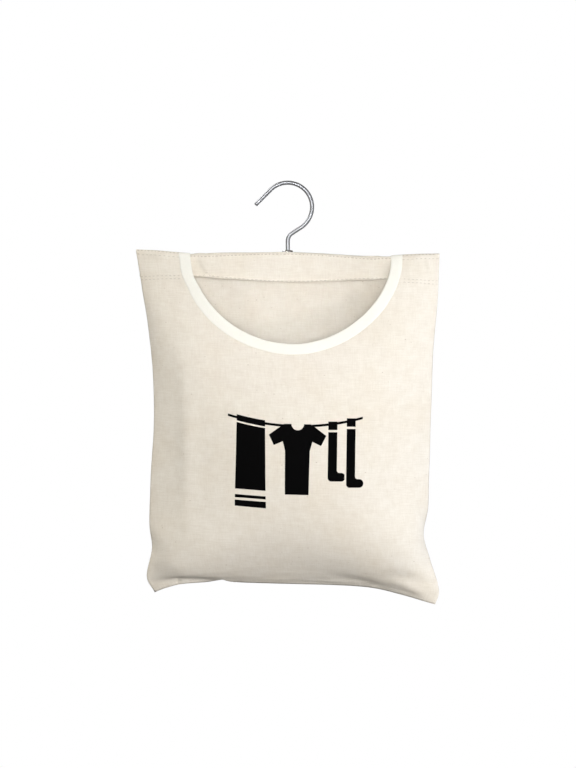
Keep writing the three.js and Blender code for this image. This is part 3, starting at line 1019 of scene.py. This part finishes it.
def neckPath():  # the raw edge from the left shoulder to the right: point and direction into the cloth
    rise, low = tape["endRise"], bag["channelRound"]
    left, right = neckPoint(0), neckPoint(math.pi)
    heights = [rise + (-low - rise) * share for share in (0, 0.25, 0.5, 0.75)]
    start, end = neckStart(low, neck["fullLeft"]), math.pi - neckStart(low, neck["fullRight"])
    angles = np.linspace(start, end, tape["steps"])
    path = [((left[0], h), Vector((-1, 0))) for h in heights]
    path += [(neckPoint(a), neckInward(a)) for a in angles]
    return path + [((right[0], h), Vector((1, 0))) for h in reversed(heights)]


def ringCells(rings, count, closed=False):  # faces between rings of as many points each
    cells = []
    for k in range(rings if closed else rings - 1):
        low, high = k * count, (k + 1) % rings * count
        for i in range(count):
            j = (i + 1) % count
            cells.append([low + i, low + j, high + j, high + i])
    return cells


def neckTape():
    section, path = tapeSection(), neckPath()
    places, laid, passed, probe = [], [], 0.0, tape["probe"]
    girth = np.concatenate([[0], np.cumsum([math.dist(a, b) for a, b in zip(section, section[1:])])])
    for step, ((u, v), inward) in enumerate(path):
        if step:
            passed += math.dist((u, v), path[step - 1][0])
        edge, edgeNormal = onFront(u, v)
        beside, _ = onFront(u + probe * inward.x, v + probe * inward.y)
        outward = (edge - beside).normalized()
        for k, (d, h) in enumerate(section):
            wave = noise.noise(Vector((passed / tape["rippleLength"], 0.0, 1.7 if h > 0 else 4.2)))
            if d > 0.5 * tape["width"]:
                d += tape["uneven"] * wave
            if h > tape["thickness"] * 0.8:
                h += tape["ripple"] * abs(wave)
            if d < 0:
                places.append(edge - outward * d + edgeNormal * h)
            else:
                base, normal = onFront(u + d * inward.x, v + d * inward.y)
                places.append(base + normal * h)
            laid.append((girth[k], passed))
    count = len(section)
    cells = [[a, d, c, b] for a, b, c, d in ringCells(len(path), count)]
    cells.append(list(range(count)))
    cells.append([len(places) - 1 - k for k in range(count)])
    return meshFrom("neckTape", places, cells, laid, material=ivoryTape), passed


tapeObject, tapeLength = neckTape()
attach(tapeObject, "bag")
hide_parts("neck_binding")
print(f"neck tape: {tapeLength * 1000:.0f} mm along the scoop")

# Rows of stitches, sewn by a node tree along lines laid on the cloth

seamSewing = {
    "pitch": 0.0042,
    "length": 0.0029,
    "width": 0.00052,
    "height": 0.00042,
    "spread": (0.82, 1.12),
    "seed": 7,
}

edgeSewing = {
    "pitch": 0.0037,
    "length": 0.0026,
    "width": 0.00085,
    "height": 0.00055,
    "spread": (0.45, 1.35),
    "seed": 19,
}

sewnRows = {
    "topDrop": 0.0019,  # below the top edge, on the channel
    "edgeDrop": -0.0002,  # and on the shoulders
    "shoulderDrop": 0.0044,
    "secondRow": 0.0032,  # between the two rows that sew the channel's foot to the shoulders
    "sideGap": 0.002,  # clear of the side seams
    "tapeGap": 0.001,  # and of the tape
    "neckGap": 0.002,
    "step": 0.001,
    "probe": 0.004,  # off the channel's walls
}


def stitchTree():
    tree = bpy.data.node_groups.new("stitchRow", "GeometryNodeTree")
    kinds = {"Lines": "Geometry", "Pitch": "Float", "Length": "Float", "Width": "Float", "Height": "Float",
             "Least": "Float", "Most": "Float", "Seed": "Int", "Thread": "Material"}
    sockets = {}
    for label, kind in kinds.items():
        made = tree.interface.new_socket(label, in_out="INPUT", socket_type="NodeSocket" + kind)
        sockets[label] = made.identifier
    tree.interface.new_socket("Stitches", in_out="OUTPUT", socket_type="NodeSocketGeometry")
    given, made = tree.nodes.new("NodeGroupInput").outputs, tree.nodes.new("NodeGroupOutput").inputs
    rows = addNode(tree, "GeometryNodeMeshToCurve", i0=given["Lines"]).outputs[0]
    points = addNode(tree, "GeometryNodeCurveToPoints", {"mode": "LENGTH"}, i0=rows, Length=given["Pitch"])
    up = addNode(tree, "GeometryNodeInputNamedAttribute", {"data_type": "FLOAT_VECTOR"}, Name="up")
    turn = addNode(tree, "FunctionNodeAxesToRotation", {"primary_axis": "X", "secondary_axis": "Z"},
                   i0=points.outputs["Tangent"], i1=up.outputs["Attribute"])
    ball = addNode(tree, "GeometryNodeMeshUVSphere", Segments=8, Rings=6, Radius=0.5)
    size = addNode(tree, "ShaderNodeCombineXYZ", X=given["Length"], Y=given["Width"], Z=given["Height"])
    stitch = addNode(tree, "GeometryNodeTransform", Geometry=ball.outputs["Mesh"], Scale=size.outputs[0])
    vary = addNode(tree, "FunctionNodeRandomValue", {"data_type": "FLOAT"}, i2=given["Least"],
                   i3=given["Most"], Seed=given["Seed"])
    spread = addNode(tree, "ShaderNodeCombineXYZ", X=vary.outputs[1], Y=1.0, Z=1.0)
    sewn = addNode(tree, "GeometryNodeInstanceOnPoints", Points=points.outputs["Points"],
                   Instance=stitch.outputs[0], Rotation=turn.outputs[0], Scale=spread.outputs[0])
    real = addNode(tree, "GeometryNodeRealizeInstances", i0=sewn.outputs[0])
    soft = addNode(tree, "GeometryNodeSetShadeSmooth", i0=real.outputs[0])
    dyed = addNode(tree, "GeometryNodeSetMaterial", Geometry=soft.outputs[0], Material=given["Thread"])
    tree.links.new(dyed.outputs[0], made[0])
    return tree, sockets


def frontRow(start, end, depth):  # along a shoulder of the front panel, at a depth below its top edge
    count = max(2, int(abs(end - start) / sewnRows["step"]))
    across = [start + (end - start) * i / count for i in range(count + 1)]
    return [onFront(u, -depth(u)) for u in across]


def channelRow(start, end, side, height):  # along the channel's front (-1) or back (1) wall
    row = []
    for x in np.linspace(start, end, int((end - start) / sewnRows["step"])):
        out = float(channelHalf(x)) + sewnRows["probe"]
        place, normal, _, _ = backTree.find_nearest(Vector((x, side * out, float(height(x)))))
        row.append((place, normal))
    return row


def stitchRows():
    w, gap, clear = bag["width"] / 2 - sewnRows["sideGap"], sewnRows["tapeGap"], sewnRows["neckGap"]
    neckLeft = neck["shift"] - neck["halfWidth"] - tape["width"]
    neckRight = neck["shift"] + neck["halfWidth"] + tape["width"]
    shoulders = (-w, neckLeft - gap), (neckRight + gap, w)
    walls = (neckLeft + tape["width"] + clear, neckRight - tape["width"] - clear, -1), (-w, w, 1)
    depths = (
        lambda u: sewnRows["shoulderDrop"],
        lambda u: bag["hemLip"] + float(hemDepth(u)),
        lambda u: bag["hemLip"] + sewnRows["secondRow"] + float(hemDepth(u)),
    )
    seamRows = [frontRow(start, end, depth) for start, end in shoulders for depth in depths]
    seamRows += [channelRow(*wall, hemRow) for wall in walls]
    # The shoulders' edge rows lie right at the top edge, and their dark thread is also painted shade along
    # that edge.
    edgeRows = [frontRow(start, end, lambda u: sewnRows["edgeDrop"]) for start, end in shoulders]
    edgeRows += [channelRow(*wall, lambda x: float(topEdge(x)) - sewnRows["topDrop"]) for wall in walls]
    return seamRows, edgeRows


def sew(name, rows, values):
    places, edges, ups = [], [], []
    for row in rows:
        edges += [(len(places) + i, len(places) + i + 1) for i in range(len(row) - 1)]
        places += [tuple(p) for p, n in row]
        ups += [tuple(n) for p, n in row]
    mesh = bpy.data.meshes.new(name)
    mesh.from_pydata(places, edges, [])
    mesh.attributes.new("up", "FLOAT_VECTOR", "POINT").data.foreach_set("vector", np.array(ups).ravel())
    obj = bpy.data.objects.new(name, mesh)
    scene.collection.objects.link(obj)
    modifier = obj.modifiers.new("stitches", "NODES")
    modifier.node_group = stitching
    inputs = {label: values[label.lower()] for label in ("Pitch", "Length", "Width", "Height", "Seed")}
    inputs["Least"], inputs["Most"] = values["spread"]
    inputs["Thread"] = threadAndHoleShade
    for label, value in inputs.items():
        modifier[stitchSockets[label]] = value
    settleModifiers(obj)
    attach(obj, "bag")
    print(f"{name}: {len(rows)} rows, {len(obj.data.polygons)} faces")


stitching, stitchSockets = stitchTree()
seamRows, edgeRows = stitchRows()
sew("seamStitches", seamRows, seamSewing)
sew("edgeStitches", edgeRows, edgeSewing)

# Print: washing on a line, in one ink

washing = {
    "centre": (0.004, -0.2080),
    "halfWidth": 67.0,  # from here on in millimetres
    "lineThick": 2.4,
    "lineTop": 45.0,
    "lineSag": 9.0,
    "towel": (-58.0, -30.0, -44.0),  # left, right and foot
    "shirt": (-19.0, 23.0, -31.0),
    "socks": ((32.0, -9.0), (50.5, -15.0)),  # left and foot
    "sockEdge": 1.7,  # left clear round the sock in front
    "grain": 2.4,
    "lift": 0.00013,  # these two in metres
    "film": 0.00008,
}


def lineHeight(x):
    share = x / washing["halfWidth"]
    return washing["lineTop"] - washing["lineSag"] * (1 - share * share)


def arc(cx, cy, radius, start, end, count=12):
    angles = np.radians(np.linspace(start, end, count))
    return [(cx + radius * math.cos(a), cy + radius * math.sin(a)) for a in angles]


def band(left, right, low, high, count=12):  # a strip that follows the line, between two offsets from it
    xs = np.linspace(left, right, count)
    return [(x, lineHeight(x) + low) for x in xs] + [(x, lineHeight(x) + high) for x in xs[::-1]]


def stripe(left, right, low, high, slope=0.0):
    return [(left, low), (right, low - slope), (right, high - slope), (left, high)]


def sock(x, top, foot, grow):
    heel = arc(x + 3.5, foot - 4.9, 3.5 + grow, 180, 270, 7)
    toe = arc(x + 13.5, foot - 4.2, 4.2 + grow, -90, 90, 9)
    instep = arc(x + 11.6, foot + 2.6, 2.6 - grow, 270, 180, 6)
    return [(x - grow, top + 2.4)] + heel + toe + instep + [(x + 9 + grow, top + 2.4)]


def printShapes():  # in order of printing: outline, and whether it is inked or left clear
    reach, thick = washing["halfWidth"], washing["lineThick"]
    shapes = [(band(-reach, reach, -thick / 2, thick / 2, 28), True)]
    left, right, foot = washing["towel"]
    shapes.append((band(left, right, 0.0, 3.0, 6)[6:] + [(left - 1, foot), (right + 2, foot - 1.5)], True))
    shapes.append((band(left - 2, right + 3, -4.6, -3.0, 6), False))
    for low, high in ((foot + 6, foot + 8.5), (foot + 11.5, foot + 17)):
        shapes.append((stripe(left - 3, right + 4, low, high, 1.2), False))
    left, right, foot = washing["shirt"]
    middle, top = (left + right) / 2, lineHeight((left + right) / 2)
    sleeve = [(right - 9, top - 24), (right - 6.5, top - 15), (right + 2, top - 19), (right + 7, top - 9)]
    half = [(right - 9.5, foot)] + sleeve + arc(right - 9, top - 3, 5, 35, 90, 5)
    mirrored = [(2 * middle - x, y) for x, y in reversed(half)]
    shapes.append((half + mirrored, True))
    shapes.append((arc(middle, top + 2.2, 6.2, 180, 360, 14), False))
    for x, foot in washing["socks"]:
        top = lineHeight(x + 4.5)
        shapes.append((sock(x, top, foot, washing["sockEdge"]), False))
        shapes.append((sock(x, top, foot, 0.0), True))
        shapes.append((stripe(x - 1, x + 10, top - 8, top - 5.8), False))
    shapes.append((band(washing["socks"][0][0] - 3, reach, -thick / 2, thick / 2, 12), True))
    return shapes


def finer(start, end):  # points from start up to end, no further apart than the print's grain
    count = max(1, math.ceil(math.dist(start, end) / washing["grain"]))
    return [(start[0] + (end[0] - start[0]) * i / count, start[1] + (end[1] - start[1]) * i / count)
            for i in range(count)]


def washingPrint():
    points, loops, inked = [], [], []
    for corners, ink in printShapes():
        outline = [p for a, b in zip(corners, corners[1:] + corners[:1]) for p in finer(a, b)]
        loops.append(list(range(len(points), len(points) + len(outline))))
        points += [Vector(p) for p in outline]
        inked.append(ink)
    xs, ys = [p.x for p in points], [p.y for p in points]
    for x in np.arange(min(xs), max(xs), washing["grain"]):
        points += [Vector((x + 0.01, y + 0.013)) for y in np.arange(min(ys), max(ys), washing["grain"])]
    verts, _, faces, _, _, sources = delaunay_2d_cdt(points, [], loops, 1, 1e-4)
    kept = [face for face, source in zip(faces, sources) if source and inked[max(source)]]
    used = sorted({i for face in kept for i in face})
    index = {old: new for new, old in enumerate(used)}
    cells = [[index[i] for i in face] for face in kept]
    cu, cv = washing["centre"]
    laid = [(cu + verts[i].x / 1000, cv + verts[i].y / 1000) for i in used]
    places = [onFront(u, v, washing["lift"])[0] for u, v in laid]
    obj = meshFrom("washingPrint", places, cells, laid, material=screenInk)
    bm = bmesh.new()
    bm.from_mesh(obj.data)
    bmesh.ops.reverse_faces(bm, faces=[f for f in bm.faces if f.normal.y > 0])
    bm.to_mesh(obj.data)
    bm.free()
    thicken(obj, "film", washing["film"])
    return obj


printObject = washingPrint()
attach(printObject, "bag")
print("print:", len(printObject.data.polygons), "faces")

# Hook: one wire, bent as the frame's hook is

wire = {
    "diameter": 0.0042,
    "bightRadius": 0.0243,
    "tail": 0.0215,
    "tailAngle": 45,
    "legAngle": 33,
    "bendRadius": 0.009,
    "headDiameter": 0.0072,
    "headHeight": 0.0024,
    "headRings": ((0.0, 0.97), (0.06, 1.0), (0.5, 1.0), (0.72, 0.94), (0.9, 0.80), (1.0, 0.62)),  # down, wide
    "sides": 24,
    "step": 0.0012,
    "tipRound": 0.0009,
}


def ray(angle):
    return np.array([math.cos(angle), math.sin(angle)])


def straight(a, b):  # points of the wire's line from a up to b
    return [a + (b - a) * t for t in np.linspace(0, 1, max(2, round(math.dist(a, b) / wire["step"])))[:-1]]


def turned(centre, r, a, b):
    count = max(6, round(r * abs(b - a) / wire["step"]))
    return [centre + r * ray(angle) for angle in np.linspace(a, b, count)[:-1]]


def wireLine():  # centre line in x and z, from the tail's tip to the top of the peened foot
    radius, bend = wire["bightRadius"], wire["bendRadius"]
    middle = np.array([0, wire["diameter"] / 2 - radius])
    tail, leg = math.radians(90 + wire["tailAngle"]), math.radians(wire["legAngle"] - 90)
    tailEnd, legStart = middle + radius * ray(tail), middle + radius * ray(leg)
    tip = tailEnd + wire["tail"] * ray(tail + math.pi / 2)
    legWay = ray(leg - math.pi / 2)
    bendStart = legStart + legWay * (bend * (1 - math.cos(leg)) - legStart[0]) / legWay[0]
    bendMiddle = bendStart + bend * ray(leg)
    foot = np.array([0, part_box("hook")[0][2] + wire["headHeight"]])
    line = straight(tip, tailEnd) + turned(middle, radius, tail, leg) + straight(legStart, bendStart)
    line += turned(bendMiddle, bend, leg + math.pi, math.pi)
    return line + straight(np.array([0, bendMiddle[1]]), foot) + [foot]


def faceOutward(mesh, sharp=38):  # edges steeper than so many degrees stay sharp
    bm = bmesh.new()
    bm.from_mesh(mesh)
    bmesh.ops.recalc_face_normals(bm, faces=bm.faces[:])
    for edge in bm.edges:
        edge.smooth = edge.calc_face_angle(0) < math.radians(sharp)
    bm.to_mesh(mesh)
    bm.free()


def hookWire():
    line, r = wireLine(), wire["diameter"] / 2
    ways = [line[1] - line[0]] + [b - a for a, b in zip(line, line[2:])] + [line[-1] - line[-2]]
    ways = [way / np.linalg.norm(way) for way in ways]
    ease, head, tall = wire["tipRound"], wire["headDiameter"] / 2, wire["headHeight"]
    rings = [(line[0] + ways[0] * ease * (1 - math.cos(a)), ways[0], r - ease * (1 - math.sin(a)))
             for a in np.radians((0, 30, 60))]
    rings += [(p, way, r) for p, way in zip(line, ways) if math.dist(p, line[0]) > ease]
    down = np.array([0.0, -1.0])
    rings += [(line[-1] + down * tall * drop, down, head * wide) for drop, wide in wire["headRings"]]
    places, laid, sides, passed = [], [], wire["sides"], 0.0
    for k, (point, way, size) in enumerate(rings):
        passed += math.dist(point, rings[k - 1][0]) if k else 0.0
        for i in range(sides):
            turn = 2 * math.pi * i / sides
            out = size * math.cos(turn)
            places.append((point[0] - way[1] * out, size * math.sin(turn), point[1] + way[0] * out))
            laid.append((r * turn, passed))
    cells = ringCells(len(rings), sides)
    cells.append([i for i in range(sides)][::-1])
    cells.append([len(places) - sides + i for i in range(sides)])
    obj = meshFrom("hookWire", places, cells, laid, "wire", hookSteel)
    faceOutward(obj.data)
    return obj


hookObject = hookWire()
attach(hookObject, "hook")
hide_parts("hook")
print("hook:", len(hookObject.data.polygons), "faces")

# Eyelet: pressed ring, domed above the cloth and rolled out below its washer

eyelet = {
    "bore": 0.0026,
    "flange": 0.0055,
    "dome": 0.0017,
    "domeCurve": 0.8,
    "wall": 0.0005,
    "throat": 0.0002,  # below the dome, where the straight bore starts
    "rim": 0.0042,
    "rimHeight": 0.0006,
    "segments": 48,
}


def eyeletRing():
    low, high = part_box("eyelet")
    seat, foot, dome = high[2] - eyelet["dome"], low[2], eyelet["dome"]
    bore, flange, rim = eyelet["bore"], eyelet["flange"], eyelet["rim"]
    barrel = bore + eyelet["wall"]
    middle, half = (flange + bore) / 2, (flange - bore) / 2
    over, under = np.radians(np.linspace(0, 165, 12)), np.radians(np.linspace(20, 160, 7))
    profile = [(middle + half * math.cos(a), seat + dome * math.sin(a) ** eyelet["domeCurve"]) for a in over]
    roll, rise = (rim - bore) / 2, eyelet["rimHeight"]
    profile += [(bore, seat - eyelet["throat"]), (bore, foot + rise)]
    profile += [(bore + roll * (1 - math.cos(a)), foot + rise * (1 - math.sin(a))) for a in under]
    profile += [(rim, foot + rise), (barrel, foot + rise), (barrel, seat)]
    count, places = eyelet["segments"], []
    for radius, z in profile:
        for i in range(count):
            turn = 2 * math.pi * i / count
            places.append((radius * math.cos(turn), radius * math.sin(turn), z))
    obj = meshFrom("eyeletRing", places, ringCells(len(profile), count, True), material=nickel)
    faceOutward(obj.data)
    return obj


eyeletObject = eyeletRing()
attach(eyeletObject, "bag")
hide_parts("eyelet")
print("eyelet: done")

for node, material in (
    ("hanger_bar", barMaterial()),
    ("hook_washer", metalMaterial("washerSteel", washerLook)),
    ("eyelet_washer", nickel),
):
    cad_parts[node].data.materials.clear()
    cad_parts[node].data.materials.append(material)

# Floor, light and camera

studio = {
    "floorHeight": -0.90,
    "floorSize": 1.6,
    "floorSides": 64,
    "floorPale": ((0.90, 0.90, 0.89), (0.94, 0.94, 0.93)),
    "floorBounce": (0.12, 0.12, 0.12),  # what the bag gets back from the floor
    "sky": (1.0, 0.92, 0.78),
    "skyLow": 0.04,
    "skyHigh": 0.10,
    "aim": (0.0, 0.0, -0.25),
}

white, cool = (0.962, 0.985, 1.028), (0.92, 0.995, 1.14)
warm, rose = (1.0, 0.955, 0.87), (1.02, 0.96, 0.97)
lamps = {
    "key": {"place": (0.0, -2.3, 0.05), "power": 36.5, "size": 0.9, "tint": white},
    "rightFront": {"place": (1.15, -2.0, 0.1), "power": 5.4, "size": 0.9, "tint": cool, "shine": False},
    "leftFront": {"place": (-1.0, -1.8, 1.0), "power": 4.5, "size": 0.9, "tint": warm},
    "rightSide": {"place": (1.2, 0.0, -0.15), "power": 8.5, "size": 0.6, "tint": cool, "shine": False},
    "leftSide": {"place": (-1.2, 0.0, -0.15), "power": 1.3, "size": 0.6, "tint": warm},
    "lowRight": {"place": (0.9, -1.2, -0.8), "power": 6.4, "size": 0.6, "tint": rose, "shine": False},
    "behind": {"place": (-1.2, 0.6, 1.2), "power": 20, "size": 0.9, "tint": white},
    "back": {"place": (0.4, 2.2, -0.1), "power": 18, "size": 1.2, "tint": white},
    "neckFill": {
        "place": (0.03, -1.3, -0.12), "power": 0.027, "size": 0.2, "tint": white,
        "aim": (0.0, 0.0, -0.12), "spread": 14,
    },
    "inside": {
        "place": (0.0, -1.3, -0.11), "power": 0.0020, "size": 0.10, "tall": 0.02, "tint": white,
        "aim": (0.0, 0.03, -0.128), "spread": 3.2, "shine": False,
    },
}


def floorMaterial():
    material, tree, shader = newMaterial("floorWhite", Roughness=0.9)
    place = addNode(tree, "ShaderNodeTexCoord").outputs["Object"]
    pale = mixed(tree, noiseOf(tree, place, 3.0).outputs[0], *studio["floorPale"])
    path = addNode(tree, "ShaderNodeLightPath").outputs
    bounced = sums(tree, "MAXIMUM", path["Is Diffuse Ray"], path["Is Glossy Ray"])
    tree.links.new(mixed(tree, bounced, pale, studio["floorBounce"]), shader.inputs["Base Color"])
    return material


rimTurns = np.linspace(0, 2 * math.pi, studio["floorSides"], endpoint=False)
floorRim = [(*(studio["floorSize"] * ray(turn)), studio["floorHeight"]) for turn in rimTurns]
floor = meshFrom("floor", floorRim, [list(range(len(floorRim)))], material=floorMaterial())

world = bpy.data.worlds.new("studio")
world.use_nodes = True
scene.world = world
sky = world.node_tree
background = sky.nodes["Background"]
toSky = addNode(sky, "ShaderNodeSeparateXYZ", i0=addNode(sky, "ShaderNodeTexCoord").outputs["Generated"])
glow = remap(sky, toSky.outputs["Z"], -1, 1, studio["skyLow"], studio["skyHigh"])
seen = addNode(sky, "ShaderNodeLightPath").outputs["Is Camera Ray"]
sky.links.new(sums(sky, "MAXIMUM", glow, seen), background.inputs["Strength"])
sky.links.new(mixed(sky, seen, studio["sky"], (1.0, 1.0, 1.0)), background.inputs["Color"])

for name, lamp in lamps.items():
    data = bpy.data.lights.new(name, "AREA")
    data.energy, data.size, data.color = lamp["power"], lamp["size"], lamp["tint"]
    data.shape = "RECTANGLE"
    data.size_y = lamp.get("tall", lamp["size"])
    data.spread = math.radians(lamp.get("spread", 180))
    light = bpy.data.objects.new(name, data)
    light.location = lamp["place"]
    light.visible_glossy = lamp.get("shine", True)
    aim = Vector(lamp.get("aim", studio["aim"])) - light.location
    light.rotation_euler = aim.to_track_quat("-Z", "Y").to_euler()
    scene.collection.objects.link(light)

photo = {
    "height": 0.768,  # field of view at the seams' plane, upright
    "distance": 2.2,
    "x": 0.0002,
    "z": -0.1992,
}
cameraData = bpy.data.cameras.new("camera")
cameraData.sensor_fit = "VERTICAL"
cameraData.sensor_height = 24
cameraData.lens = cameraData.sensor_height * photo["distance"] / photo["height"]
camera = bpy.data.objects.new("camera", cameraData)
camera.location = (photo["x"], -photo["distance"], photo["z"])
camera.rotation_euler = (math.pi / 2, 0, 0)
scene.collection.objects.link(camera)
scene.camera = camera
scene.view_settings.view_transform = "Standard"
print("studio: done")
